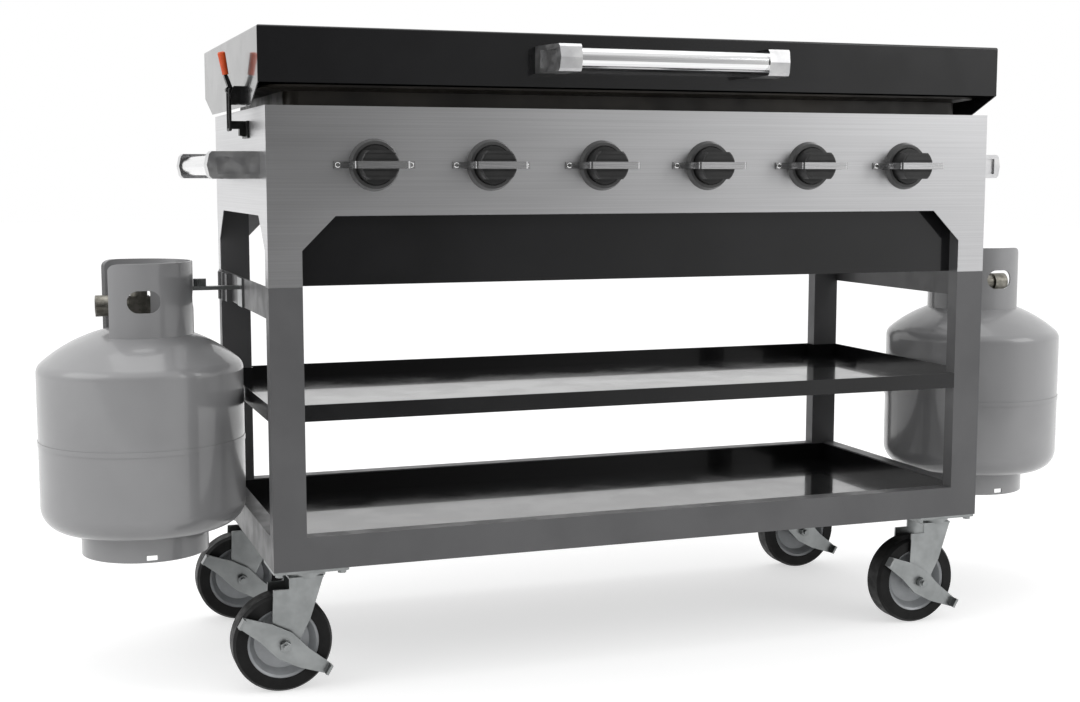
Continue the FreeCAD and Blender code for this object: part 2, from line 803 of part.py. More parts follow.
def grip_foot():
    px, pz = latch_pivot()
    return px - latch_arm_out, pz + latch_arm_up


def along_grip(share):
    """A point on the grip's axis, which leans outward as it rises."""
    ax, az = grip_foot()
    return ax - grip_lean * share, y_front + latch_from_front, az + 2 + grip_length * share


def latch_grip():
    foot, tip = V(*along_grip(0)), V(*along_grip(1))
    grip = Part.makeCone(grip_radius * 0.8, grip_radius, (tip - foot).Length, foot, tip - foot)
    top = [e for e in grip.Edges if abs(e.CenterOfMass.z - tip.z) < 0.1]
    grip = grip.makeFillet(grip_radius * 0.5, top)
    bore_end = 1 - (tang_short - grip_bore_gap) / grip_length
    bore = rod(along_grip(-0.1), along_grip(bore_end), tang_radius + grip_bore_gap)
    return grip.cut(bore)


def catch_level():
    return panel_top - catch_rise


def latch_hook():
    """The wire loop that hangs from the latch arm, over and outside the catch."""
    y = y_front + latch_from_front
    hx, hz = hook_pivot()
    z_low = catch_level() + catch_height / 2
    half = hook_spacing / 2
    pieces = []
    for side in (-1, 1):
        ys = y + side * half
        pieces.append(rod((hx, ys, hz), (hx, ys, z_low), hook_rod))
        for z in (hz, z_low):
            pieces.append(Part.makeSphere(hook_rod + hook_weld, V(hx, ys, z)))
    pieces.append(rod((hx, y - half, z_low), (hx, y + half, z_low), hook_rod))
    pieces.append(rod((hx, y - half, hz), (hx, y + half, hz), hook_rod))
    return fuse(pieces)


def latch_catch():
    y = y_front + latch_from_front
    z0 = catch_level()
    half = catch_width / 2
    nose = hook_pivot()[0] + hook_rod + catch_gap
    inner = hook_spacing / 2 - hook_rod - catch_side_gap
    plate = box(x_left - latch_plate, x_left, y - half, y + half, z0, z0 + catch_height)
    block_z = z0 + catch_height - catch_nose_height
    step = (x_left + nose) / 2
    arm = box(nose, x_left, y - inner, y + inner, block_z, z0 + catch_height)
    web = prism([(x_left, y - inner, z0 + 2), (step, y - inner, z0 + 4), (step, y - inner, block_z + 1),
                 (x_left, y - inner, block_z + 1)], (0, 2 * inner, 0))
    return fuse([plate, arm, web])


def latches():
    save("latch_catches", both_sides([latch_catch()]))
    save("latch_bases", both_sides([latch_base()]))
    for name, maker in (("latch_arm", latch_arm), ("latch_grip", latch_grip), ("latch_hook", latch_hook)):
        solid = maker()
        save(name + "_left", [solid])
        save(name + "_right", [mirror_x(solid)])


def caster_centres():
    left, right = x_left + caster_inset_x, x_right - caster_inset_x
    front, rear = y_front + caster_inset_y, y_rear - caster_inset_y
    return {"front_left": (left, front), "front_right": (right, front),
            "rear_left": (left, rear), "rear_right": (right, rear)}


def caster_mount(cx, cy):
    z1 = caster_height
    z0 = z1 - mount_plate
    hx, hy = mount_plate_x / 2, mount_plate_y / 2
    plate = box(cx - hx, cx + hx, cy - hy, cy + hy, z0, z1)
    upright = [e for e in plate.Edges if abs(e.Vertexes[0].Z - e.Vertexes[-1].Z) > mount_plate / 2]
    plate = plate.makeFillet(6, upright)
    race_top = z0 - race_height
    pin = rod((cx, cy, z0), (cx, cy, race_top - fork_sheet - race_gap * 2), kingpin_radius)
    foot = race_top - fork_sheet - race_gap * 2
    head = rod((cx, cy, foot), (cx, cy, foot - 4), kingpin_head)
    solids = [fuse([plate, pin, head])]
    for sx in (-1, 1):
        for sy in (-1, 1):
            bx = cx + sx * (hx - mount_bolt_inset)
            by = cy + sy * (hy - mount_bolt_inset)
            solids.append(hexagon(bx, by, z0 - bolt_head_height, bolt_head_radius, bolt_head_height))
    return solids


def hexagon(x, y, z, radius, height):
    points = []
    for i in range(6):
        a = math.radians(60 * i)
        points.append((x + radius * math.cos(a), y + radius * math.sin(a), z))
    return prism(points, (0, 0, height))


def leg_faces():
    inner = tyre_width / 2 + fork_gap
    return inner, inner + fork_sheet


def caster_fork(cx, cy):
    """Crown, two legs, axle bolt and nut, for a caster that trails towards -X."""
    z_axle = wheel_radius
    ax = cx - caster_trail
    inner, outer = leg_faces()
    crown_top = caster_height - mount_plate - race_height
    crown_low = crown_top - fork_sheet
    legs = []
    for y0 in (cy - outer, cy + inner):
        eye = rod((ax, y0, z_axle), (ax, y0 + fork_sheet, z_axle), fork_eye)
        leg = prism([(ax - fork_eye, y0, z_axle), (ax - fork_eye + 4, y0, z_axle + fork_shoulder),
                     (cx - race_radius, y0, z_axle + fork_shoulder), (cx - race_radius, y0, crown_top),
                     (cx + race_radius - 10, y0, crown_top), (cx, y0, z_axle + fork_toe),
                     (ax + fork_eye * 0.9, y0, z_axle - fork_eye * 0.4)], (0, fork_sheet, 0))
        legs.append(eye.fuse(leg))
    crown = box(cx - race_radius, cx + race_radius - 10, cy - outer, cy + outer, crown_low, crown_top)
    race = rod((cx, cy, crown_low), (cx, cy, caster_height - mount_plate - race_gap), race_radius * 0.93)
    hole = rod((cx, cy, crown_low - 1), (cx, cy, caster_height), kingpin_radius + axle_gap)
    body = fuse([crown, race] + legs).cut(hole)
    axle = rod((ax, cy - axle_reach, z_axle), (ax, cy + outer + nut_height, z_axle), axle_radius)
    body = fuse([body, axle])
    nuts = []
    for y0, y1 in ((cy - axle_reach + 5, cy - axle_reach + 5 + nut_height), (cy + outer, cy + outer + nut_height)):
        points = []
        for i in range(6):
            a = math.radians(60 * i + 30)
            points.append((ax + nut_radius * math.cos(a), y0, z_axle + nut_radius * math.sin(a)))
        nuts.append(prism(points, (0, y1 - y0, 0)))
    return [fuse([body] + nuts)]


def turned(profile, cx, cy, cz):
    """A solid turned about the Y axis through (cx, cz), from (radius, y) points."""
    points = [V(cx + r, cy + y, cz) for r, y in profile]
    face = Part.Face(Part.makePolygon(points + points[:1]))
    return face.revolve(V(cx, cy, cz), V(0, 1, 0), 360)


def caster_tyre(cx, cy):
    h = tyre_width / 2
    profile = [(rim_radius, -h), (wheel_radius - tyre_crown, -h), (wheel_radius, -h + tyre_crown * 1.5),
               (wheel_radius, h - tyre_crown * 1.5), (wheel_radius - tyre_crown, h), (rim_radius, h)]
    return turned(profile, cx - caster_trail, cy, wheel_radius)


def caster_rim(cx, cy):
    h, w = rim_width / 2, rim_web / 2
    hub = tyre_width / 2 + fork_gap - 0.5
    bore = axle_radius + axle_gap
    lip = rim_radius - 4
    profile = [(bore, -hub), (hub_radius, -hub), (hub_radius + 3, -w - 4), (lip - 8, -w - 2), (lip, -h),
               (rim_radius, -h - 2), (rim_radius, h + 2), (lip, h), (lip - 8, w + 2), (hub_radius + 3, w + 4),
               (hub_radius, hub), (bore, hub)]
    return turned(profile, cx - caster_trail, cy, wheel_radius)


def caster_brake(cx, cy):
    """The double-ended brake lever on the axle, on the front side of the fork."""
    ax = cx - caster_trail
    outer = leg_faces()[1]
    y1 = cy - outer - brake_standoff
    y0 = y1 - brake_sheet
    length, width, tip = brake_half_length, brake_half_width, brake_tip_width
    half = [(-length, tip), (-length * 0.45, width * 0.9), (0, width), (length * 0.45, width * 0.55), (length, tip * 0.6)]
    outline = half + [(-px, -pz) for px, pz in half]
    z = wheel_radius
    plate = prism([(ax + px, y0, z + pz) for px, pz in outline], (0, brake_sheet, 0))
    pedals = []
    for side in (-1, 1):
        x_tip = ax + side * (length - 2)
        z_tip = z - side * tip * 0.2
        pedals.append(box(x_tip - 2, x_tip + 2, y0 - brake_pedal, y1, z_tip - tip * 0.8, z_tip + tip * 0.8))
    spacer = rod((ax, y1, z), (ax, cy - outer - race_gap, z), axle_radius + 5)
    lever = fuse([plate, spacer] + pedals)
    lever = lever.cut(rod((ax, y0 - 1, z), (ax, cy, z), axle_radius + axle_gap))
    lever.rotate(V(ax, cy, z), V(0, 1, 0), brake_tilt)
    return lever


def casters():
    mounts = []
    for name, (cx, cy) in caster_centres().items():
        mounts += caster_mount(cx, cy)
        save("caster_fork_" + name, caster_fork(cx, cy))
        save("caster_tyre_" + name, [caster_tyre(cx, cy)])
        save("caster_rim_" + name, [caster_rim(cx, cy)])
        save("caster_brake_" + name, [caster_brake(cx, cy)])
    save("caster_mounts", mounts)


def tank_place():
    """The axis of the left cylinder."""
    return x_left - tank_side_gap - tank_radius, y_middle


def head_arcs(radius, crown, knuckle, level, up):
    """A dished end as a knuckle arc and a crown arc, from the side wall at a level to the axis."""
    sink = math.sqrt((crown - knuckle) ** 2 - (radius - knuckle) ** 2)
    full = math.atan2(sink, radius - knuckle)
    bend = [V(radius - knuckle + knuckle * math.cos(t), 0, level + up * knuckle * math.sin(t)) for t in (0, full / 2, full)]
    half = (full + math.pi / 2) / 2
    cap = [V(crown * math.cos(t), 0, level + up * (crown * math.sin(t) - sink)) for t in (half, math.pi / 2)]
    rounded = Part.Arc(*bend).toBSpline().toShape()
    return rounded, Part.Arc(bend[2], cap[0], cap[1]).toShape(), cap[1]


def vessel(inset):
    """The body of the cylinder with its dished ends, shrunk all round by the inset."""
    r = tank_radius - inset
    shoulder = tank_top - shoulder_drop
    foot = tank_bottom + base_rise
    upper_bend, upper_crown, high = head_arcs(r, head_crown - inset, head_knuckle - inset, shoulder, 1)
    lower_bend, lower_crown, low = head_arcs(r, base_crown - inset, base_knuckle - inset, foot, -1)
    wall = Part.LineSegment(V(r, 0, foot), V(r, 0, shoulder)).toShape()
    axis = Part.LineSegment(low, high).toShape()
    wire = Part.Wire(Part.__sortEdges__([upper_bend, upper_crown, axis, lower_crown, lower_bend, wall]))
    return Part.Face(wire).revolve(V(0, 0, 0), V(0, 0, 1), 360)


def head_top():
    sink = math.sqrt((head_crown - head_knuckle) ** 2 - (tank_radius - head_knuckle) ** 2)
    return tank_top - shoulder_drop + head_crown - sink


def ring(radius, wall, z0, z1):
    return Part.makeCylinder(radius, z1 - z0, V(0, 0, z0)).cut(Part.makeCylinder(radius - wall, z1 - z0 + 2, V(0, 0, z0 - 1)))


def rounded_slot(width, height, z, angle):
    """A cutter for a long hole with round ends through the collar wall, facing the angle."""
    half = width / 2 - height / 2
    length = collar_radius * 2
    start = collar_radius * 0.6
    bar = box(start, length, -half, half, z - height / 2, z + height / 2)
    ends = [rod((start, s * half, z), (length, s * half, z), height / 2) for s in (-1, 1)]
    cutter = fuse([bar] + ends)
    cutter.rotate(V(0, 0, 0), V(0, 0, 1), angle)
    return cutter


def slot_middle():
    return tank_top - slot_drop - slot_height / 2


def collar_gap(low):
    """A cutter for the gap in the collar, which leaves its two top corners rounded."""
    half = collar_radius * math.sin(math.radians(collar_gap_angle / 2))
    r = collar_corner
    k = r * (1 - math.sqrt(0.5))
    edges = []
    for s in (-1, 1):
        foot, side, crest = V(0, s * half, low), V(0, s * half, tank_top - r), V(0, s * (half + r), tank_top)
        edges.append(Part.LineSegment(foot, side).toShape())
        edges.append(Part.Arc(side, V(0, s * (half + k), tank_top - k), crest).toShape())
        edges.append(Part.LineSegment(crest, V(0, s * (half + r), tank_top + r)).toShape())
    edges.append(Part.LineSegment(V(0, -half, low), V(0, half, low)).toShape())
    edges.append(Part.LineSegment(V(0, -half - r, tank_top + r), V(0, half + r, tank_top + r)).toShape())
    return Part.Face(Part.Wire(Part.__sortEdges__(edges))).extrude(V(-2 * collar_radius, 0, 0))


def tank_cylinder():
    """The vessel with its weld band and valve boss, the foot ring and the collar, welded."""
    body = vessel(0)
    high = head_top()
    level = tank_bottom + band_rise
    band = Part.makeCylinder(tank_radius + band_proud, band_height, V(0, 0, level - band_height / 2))
    boss = Part.makeCylinder(boss_radius, boss_height, V(0, 0, high - boss_height / 2))
    inlet = Part.makeCylinder(boss_bore, boss_height * 2, V(0, 0, high - boss_height))
    shell = cut(fuse([body, band, boss]), [vessel(tank_wall), inlet])
    foot = ring(foot_ring_radius, tank_wall, tank_bottom, tank_bottom + base_rise)
    drain = box(-drain_half_width, drain_half_width, -2 * foot_ring_radius, 2 * foot_ring_radius,
                tank_bottom + drain_low, tank_bottom + drain_high)
    collar = ring(collar_radius, tank_wall, tank_top - shoulder_drop, tank_top)
    slots = [rounded_slot(slot_width, slot_height, slot_middle(), a) for a in (0, 90, 270)]
    gap = collar_gap(tank_top - shoulder_drop - 1)
    return [shell, cut(foot, [body, drain]), cut(collar, [body, gap] + slots)]


def tank_valve():
    """The cylinder valve, with its outlet facing the gap in the collar."""
    high = head_top()
    seat = high + boss_height / 2
    z = high + outlet_height
    plug = Part.makeCylinder(boss_bore, boss_height, V(0, 0, seat - boss_height))
    body = Part.makeCylinder(valve_body_radius, valve_body_height, V(0, 0, seat))
    block = box(-16, 16, -14, 14, z - 16, z + 14)
    end = -outlet_start - outlet_length
    neck = rod((0, 0, z), (-outlet_start, 0, z), outlet_radius - 4)
    outlet = rod((-outlet_start, 0, z), (end, 0, z), outlet_radius)
    bore = rod((-outlet_start - 4, 0, z), (end - 1, 0, z), outlet_radius - 5)
    stem = Part.makeCylinder(stem_radius, 16, V(0, 0, seat + valve_body_height))
    return [fuse([plug, body, block, neck, outlet, stem]).cut(bore)]


def tank_handwheel():
    seat = head_top() + boss_height / 2 + valve_body_height + 1
    wheel = Part.makeCylinder(handwheel_radius, handwheel_height, V(0, 0, seat))
    notches = []
    for i in range(handwheel_lobes):
        a = math.radians(360.0 / handwheel_lobes * i)
        r = handwheel_radius * 1.12
        notches.append(Part.makeCylinder(handwheel_radius * 0.28, handwheel_height + 2,
                                         V(r * math.cos(a), r * math.sin(a), seat - 1)))
    bore = Part.makeCylinder(stem_radius + stem_gap, handwheel_height + 2, V(0, 0, seat - 1))
    return [cut(wheel, notches + [bore])]


def tanks():
    tx, ty = tank_place()
    for name, maker in (("tank_cylinder", tank_cylinder), ("tank_valve", tank_valve), ("tank_handwheel", tank_handwheel)):
        solids = placed(maker(), 0, (tx, ty, 0))
        save(name + "_left", solids)
        save(name + "_right", [mirror_x(solid) for solid in solids])


def tank_hangers():
    tx, ty = tank_place()
    half = (slot_width - slot_height) / 2
    z1 = hanger_level
    z0 = z1 - hanger_thickness
    wall = tx + math.sqrt((collar_radius - tank_wall) ** 2 - half ** 2)
    tip = wall - hanger_reach - hanger_thickness
    bar_low = panel_bottom - crossbar_height
    arm = box(tip, x_left, ty - half, ty + half, z0, z1)
    lip = box(tip, tip + hanger_thickness, ty - half, ty + half, z0, z1 + hanger_lip)
    plate = box(x_left - hanger_plate, x_left, ty - hanger_plate_half, ty + hanger_plate_half, bar_low, panel_bottom)
    thumb_x = tx + collar_radius + thumb_from_collar
    thumb = knurled(thumb_x, ty, z1, thumb_radius, thumb_height)
    save("tank_hangers", both_sides([fuse([arm, lip, plate]), thumb]))


def knurled(x, y, z, radius, height):
    body = Part.makeCylinder(radius, height, V(x, y, z))
    grooves = []
    count = 16
    for i in range(count):
        a = 2 * math.pi * i / count
        grooves.append(Part.makeCylinder(radius * 0.11, height + 2, V(x + radius * math.cos(a), y + radius * math.sin(a), z - 1)))
    return cut(body, grooves)


def cup_depth():
    return lid_rear_overhang - cup_gap - 2


def grease_cup():
    y0 = y_rear + cup_gap
    y1 = y0 + cup_depth()
    z1 = plate_top - cup_drop / 2
    z0 = z1 - cup_height
    half = cup_width / 2
    t = cup_sheet
    outer = box(-half, half, y0, y1, z0, z1)
    inner = box(-half + t, half - t, y0 + t, y1 - t, z0 + t, z1 + 1)
    save("grease_cup", [outer.cut(inner)])


front_and_rear_panels()
side_panels()
apron()
corner_posts()
lower_rails()
lower_tray()
middle_shelf()
crossbars()
griddle_plate()
burner_box()
burners()
gas_train()
controls()
handles()
lid_shell()
lid_hinges()
latches()
casters()
tanks()
tank_hangers()
grease_cup()
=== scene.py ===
import math

import bpy
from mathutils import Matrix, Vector

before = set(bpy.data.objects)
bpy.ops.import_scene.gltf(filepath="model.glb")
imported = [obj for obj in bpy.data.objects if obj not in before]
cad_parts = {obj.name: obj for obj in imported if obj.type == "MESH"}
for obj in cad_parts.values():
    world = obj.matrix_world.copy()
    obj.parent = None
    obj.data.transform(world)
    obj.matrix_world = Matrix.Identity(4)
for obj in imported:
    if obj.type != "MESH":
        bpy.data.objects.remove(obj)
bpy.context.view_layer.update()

CORNERS = ("front_left", "front_right", "rear_left", "rear_right")
SIDES = ("left", "right")
KNOBS = ["knob_%d" % (i + 1) for i in range(6)]

# The camera, as fitted to the photograph
CAMERA_PLACE = (-0.9900, -2.4774, 0.7739)
CAMERA_YAW = 19.562
CAMERA_PITCH = -6.452
CAMERA_LENS = 51.97
SENSOR_WIDTH = 36.0

# Where the handles' tubes end, and the middle of the cart's depth
HANDLE_TUBE_HALF = 0.1541
CART_MIDDLE_Y = 0.02175

# Light from the studio: on matt surfaces, and in mirrors from its dark front and its white rest
FILL_LEVEL = 0.8
STUDIO_DARK = 0.06
STUDIO_BRIGHT = 1.0

# Directions, in degrees from the front, between which the studio turns from dark to white
RIGHT_START = 6
RIGHT_END = 44
LEFT_START = -50
LEFT_END = -90

# Heights of a direction between which the studio turns white overhead
OVERHEAD_START = 0.35
OVERHEAD_END = 0.7

# The floor's own colour, and what it adds where it is seen
FLOOR_GREY = 0.62
FLOOR_GLOW = 0.56
FLOOR_HALF_WIDTH = 14.0
FLOOR_NEAR = -2.2
FLOOR_FAR = 24.0

# Rounding of pressed and moulded edges, as the light sees it
EDGE_ROUND = 0.0012


def linear(value):
    """A colour channel as it is seen, turned into the linear number that a shader takes."""
    return value / 12.92 if value <= 0.04045 else ((value + 0.055) / 1.055) ** 2.4


def seen(r, g, b):
    return (linear(r), linear(g), linear(b), 1.0)


def grey(tone):
    return seen(tone, tone, tone)


def math_node(tree, operation, first, second):
    node = tree.nodes.new("ShaderNodeMath")
    node.operation = operation
    node.use_clamp = operation == "ADD"
    for socket, value in zip(node.inputs, (first, second)):
        if isinstance(value, (int, float)):
            socket.default_value = value
        else:
            tree.links.new(value, socket)
    return node.outputs[0]


def smooth_range(tree, value, start, end, low, high):
    """Low where the value is at start, high where it is at end, and a soft step between."""
    node = tree.nodes.new("ShaderNodeMapRange")
    node.interpolation_type = "SMOOTHSTEP"
    node.inputs["From Min"].default_value = start
    node.inputs["From Max"].default_value = end
    node.inputs["To Min"].default_value = low
    node.inputs["To Max"].default_value = high
    tree.links.new(value, node.inputs["Value"])
    return node.outputs["Result"]


class Shader:
    """A material with one Principled shader, and short calls for the nodes that feed it."""

    def __init__(self, name, colour, roughness, metallic=0.0):
        self.material = bpy.data.materials.new(name)
        self.material.use_nodes = True
        self.tree = self.material.node_tree
        self.nodes = self.tree.nodes
        self.links = self.tree.links
        self.base = self.nodes["Principled BSDF"]
        self.base.inputs["Base Color"].default_value = colour
        self.base.inputs["Roughness"].default_value = roughness
        self.base.inputs["Metallic"].default_value = metallic
        self.material.diffuse_color = colour

    def set(self, **values):
        for key, value in values.items():
            self.base.inputs[key.replace("_", " ")].default_value = value

    def feed(self, socket, value):
        self.links.new(value, self.base.inputs[socket])

    def coordinates(self, scale=(1, 1, 1)):
        source = self.nodes.new("ShaderNodeTexCoord")
        mapping = self.nodes.new("ShaderNodeMapping")
        mapping.inputs["Scale"].default_value = scale
        self.links.new(source.outputs["Object"], mapping.inputs["Vector"])
        return mapping.outputs["Vector"]

    def noise(self, scale, stretch=(1, 1, 1), detail=4.0, rough=0.55):
        node = self.nodes.new("ShaderNodeTexNoise")
        node.inputs["Scale"].default_value = scale
        node.inputs["Detail"].default_value = detail
        node.inputs["Roughness"].default_value = rough
        self.links.new(self.coordinates(stretch), node.inputs["Vector"])
        return node.outputs["Fac"]

    def ramp(self, value, low, high, start=0.35, end=0.65):
        """Maps a texture value to the range from low to high."""
        return smooth_range(self.tree, value, start, end, low, high)

    def blend(self, value, first, second, start=0.35, end=0.65):
        """One colour where the texture is low and another where it is high."""
        node = self.nodes.new("ShaderNodeMix")
        node.data_type = "RGBA"
        node.inputs["A"].default_value = first
        node.inputs["B"].default_value = second
        self.links.new(self.ramp(value, 0.0, 1.0, start, end), node.inputs["Factor"])
        return node.outputs["Result"]

    def choose(self, value, first, second, kind="FLOAT"):
        """The first input where the value is 0, and the second where it is 1."""
        node = self.nodes.new("ShaderNodeMix")
        node.data_type = kind
        self.links.new(value, node.inputs["Factor"])
        self.links.new(first, node.inputs["A"])
        self.links.new(second, node.inputs["B"])
        return node.outputs["Result"]

    def round_edges(self):
        """Lets sharp edges catch the light as real bent or cast ones do."""
        node = self.nodes.new("ShaderNodeBevel")
        node.samples = 4
        node.inputs["Radius"].default_value = EDGE_ROUND
        self.links.new(node.outputs["Normal"], self.base.inputs["Normal"])

    def bump(self, value, strength, distance=0.0005):
        """Adds a bump to the normals that the shader already has."""
        node = self.nodes.new("ShaderNodeBump")
        node.inputs["Strength"].default_value = strength
        node.inputs["Distance"].default_value = distance
        self.links.new(value, node.inputs["Height"])
        earlier = self.base.inputs["Normal"].links
        if earlier:
            self.links.new(earlier[0].from_socket, node.inputs["Normal"])
        self.links.new(node.outputs["Normal"], self.base.inputs["Normal"])


def stainless_steel():
    """Brushed sheet: fine level streaks, and cloudy patches of a slightly different finish."""
    s = Shader("stainless_steel", seen(0.80, 0.80, 0.805), 0.27, 1.0)
    streaks = s.noise(1.0, (3, 3, 520), 2.0, 0.5)
    clouds = s.noise(4.0, (1, 1, 2.0), 2.0, 0.5)
    s.feed("Base Color", s.blend(streaks, seen(0.79, 0.79, 0.795), seen(0.83, 0.83, 0.835), 0.25, 0.75))
    s.feed("Roughness", s.ramp(clouds, 0.285, 0.325, 0.2, 0.8))
    s.bump(streaks, 0.02, 0.0001)
    return s.material


def frame_paint():
    """Grey powder coat with a fine orange peel."""
    s = Shader("frame_paint", seen(0.37, 0.37, 0.375), 0.42)
    s.set(IOR=1.5)
    s.feed("Base Color", s.blend(s.noise(6.0), seen(0.335, 0.335, 0.34), seen(0.365, 0.365, 0.37)))
    s.feed("Roughness", s.ramp(s.noise(30.0), 0.36, 0.46))
    s.bump(s.noise(900.0, detail=2.0), 0.12, 0.0002)
    return s.material


def black_paint():
    """Black gloss enamel under a clear gloss."""
    s = Shader("black_paint", seen(0.095, 0.095, 0.1), 0.16)
    s.set(Specular_IOR_Level=0.25, Coat_Weight=0.55, Coat_Roughness=0.04, Coat_IOR=1.5)
    s.feed("Roughness", s.ramp(s.noise(12.0), 0.12, 0.2))
    s.feed("Base Color", s.blend(s.noise(3.0), seen(0.085, 0.085, 0.088), seen(0.105, 0.105, 0.11)))
    s.bump(s.noise(260.0, detail=2.0), 0.02, 0.0002)
    return s.material


def griddle_steel():
    """Seasoned rolled steel: near black, with a warm cast and worn, smoother patches."""
    s = Shader("griddle_steel", seen(0.14, 0.13, 0.12), 0.42, 0.35)
    patches = s.noise(7.0, detail=6.0)
    s.feed("Base Color", s.blend(patches, seen(0.12, 0.11, 0.1), seen(0.19, 0.175, 0.155)))
    s.feed("Roughness", s.ramp(s.noise(25.0, detail=6.0), 0.32, 0.5))
    s.bump(s.noise(420.0), 0.12, 0.0003)
    return s.material


def handle_metal(name, axis, middle):
    """Satin cast brackets and a polished tube, told apart by the distance from the handle's middle."""
    s = Shader(name, grey(0.82), 0.3, 1.0)
    split = s.nodes.new("ShaderNodeSeparateXYZ")
    s.links.new(s.coordinates(), split.inputs[0])
    offset = math_node(s.tree, "SUBTRACT", split.outputs[axis], middle)
    away = math_node(s.tree, "ABSOLUTE", offset, 0.0)
    bracket = math_node(s.tree, "GREATER_THAN", away, HANDLE_TUBE_HALF)
    satin = s.blend(s.noise(40.0), seen(0.78, 0.78, 0.785), grey(0.84))
    lines = s.noise(1.0, (9, 1200, 1200) if axis == "X" else (1200, 9, 1200), 2.0)
    polished = s.blend(lines, seen(0.87, 0.87, 0.875), grey(0.92))
    s.feed("Base Color", s.choose(bracket, polished, satin, "RGBA"))
    tube_rough = s.ramp(lines, 0.10, 0.16)
    bracket_rough = s.ramp(s.noise(60.0), 0.32, 0.4)
    s.feed("Roughness", s.choose(bracket, tube_rough, bracket_rough))
    s.bump(s.noise(1200.0, detail=2.0), 0.03, 0.0001)
    return s.material


def guard_steel():
    """Brushed strip of the knob guards."""
    s = Shader("guard_steel", seen(0.78, 0.78, 0.785), 0.24, 1.0)
    lines = s.noise(1.0, (20, 20, 2200), 2.0)
    s.feed("Base Color", s.blend(lines, seen(0.74, 0.74, 0.745), grey(0.83)))
    s.feed("Roughness", s.ramp(lines, 0.2, 0.26))
    s.bump(lines, 0.08, 0.0001)
    return s.material


def black_plastic(name, tone, rough):
    """Moulded plastic with a fine grain."""
    s = Shader(name, grey(tone), rough)
    s.feed("Base Color", s.blend(s.noise(50.0), grey(tone * 0.94), grey(tone * 1.06)))
    s.feed("Roughness", s.ramp(s.noise(90.0), rough - 0.05, rough + 0.05))
    s.bump(s.noise(1800.0, detail=2.0), 0.08, 0.0001)
    return s.material


def zinc():
    """Zinc plated pressed steel: grey, slightly green, with soft blotches and dull scuffs."""
    s = Shader("zinc", seen(0.56, 0.57, 0.57), 0.34, 1.0)
    blotches = s.noise(30.0, detail=3.0)
    s.round_edges()
    s.feed("Base Color", s.blend(blotches, seen(0.53, 0.54, 0.54), seen(0.60, 0.61, 0.61), 0.25, 0.75))
    s.feed("Roughness", s.ramp(s.noise(90.0), 0.29, 0.37))
    s.bump(s.noise(500.0), 0.03, 0.0001)
    return s.material


def rim_grey():
    """Grey moulded rim of the wheels, satin."""
    s = Shader("rim_grey", seen(0.64, 0.65, 0.66), 0.38, 0.2)
    s.round_edges()
    s.feed("Base Color", s.blend(s.noise(60.0), seen(0.625, 0.635, 0.645), seen(0.66, 0.67, 0.68)))
    s.feed("Roughness", s.ramp(s.noise(120.0), 0.32, 0.44))
    s.bump(s.noise(900.0), 0.04, 0.0001)
    return s.material


def bright_screw():
    """Bright plated screw heads."""
    s = Shader("bright_screw", grey(0.85), 0.16, 1.0)
    s.feed("Roughness", s.ramp(s.noise(600.0), 0.12, 0.22))
    return s.material


def black_steel():
    """Black oxide steel of the latches and hinges."""
    s = Shader("black_steel", grey(0.11), 0.38, 0.3)
    s.feed("Base Color", s.blend(s.noise(80.0), grey(0.085), grey(0.13)))
    s.feed("Roughness", s.ramp(s.noise(150.0), 0.3, 0.45))
    s.bump(s.noise(1500.0), 0.08, 0.0001)
    return s.material


def orange_rubber():
    """Dipped grips of the latch arms."""
    s = Shader("orange_rubber", seen(0.84, 0.32, 0.13), 0.38)
    s.feed("Base Color", s.blend(s.noise(60.0), seen(0.80, 0.29, 0.11), seen(0.87, 0.35, 0.15)))
    s.feed("Roughness", s.ramp(s.noise(200.0), 0.32, 0.46))
    s.bump(s.noise(1600.0), 0.06, 0.0001)
    return s.material


def tyre_rubber():
    """Dull black rubber."""
    s = Shader("tyre_rubber", grey(0.05), 0.5)
    s.set(Specular_IOR_Level=0.22)
    s.feed("Base Color", s.blend(s.noise(30.0), grey(0.035), grey(0.06)))
    s.feed("Roughness", s.ramp(s.noise(70.0), 0.42, 0.6))
    s.bump(s.noise(1400.0), 0.1, 0.0002)
    return s.material


def tank_paint():
    """Grey gloss enamel of the gas cylinders, with a slight waviness."""
    s = Shader("tank_paint", seen(0.60, 0.60, 0.605), 0.28)
    s.set(Coat_Weight=0.6, Coat_Roughness=0.08, Coat_IOR=1.5)
    s.feed("Base Color", s.blend(s.noise(4.0), seen(0.555, 0.555, 0.56), seen(0.585, 0.585, 0.59)))
    s.feed("Roughness", s.ramp(s.noise(20.0), 0.285, 0.36))
    s.bump(s.noise(160.0, detail=3.0), 0.04, 0.0003)
    return s.material


def valve_metal():
    """Dull plated brass of the valves."""
    s = Shader("valve_metal", seen(0.5, 0.49, 0.46), 0.42, 1.0)
    s.feed("Base Color", s.blend(s.noise(90.0), seen(0.44, 0.43, 0.4), seen(0.56, 0.55, 0.52)))
    s.feed("Roughness", s.ramp(s.noise(140.0), 0.36, 0.5))
    return s.material


def burner_steel():
    """Steel of the burners and their pipe, with a faint straw tint from heat."""
    s = Shader("burner_steel", seen(0.62, 0.61, 0.6), 0.35, 1.0)
    s.feed("Base Color", s.blend(s.noise(12.0), seen(0.52, 0.5, 0.47), seen(0.68, 0.67, 0.66)))
    s.feed("Roughness", s.ramp(s.noise(50.0), 0.28, 0.45))
    return s.material


def on_each(pattern, places):
    return [pattern % place for place in places]


def dress(material, nodes):
    """Gives the material to every slot of the nodes."""
    for name in nodes:
        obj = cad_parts[name]
        if not obj.material_slots:
            obj.data.materials.append(material)
        for slot in obj.material_slots:
            slot.material = material


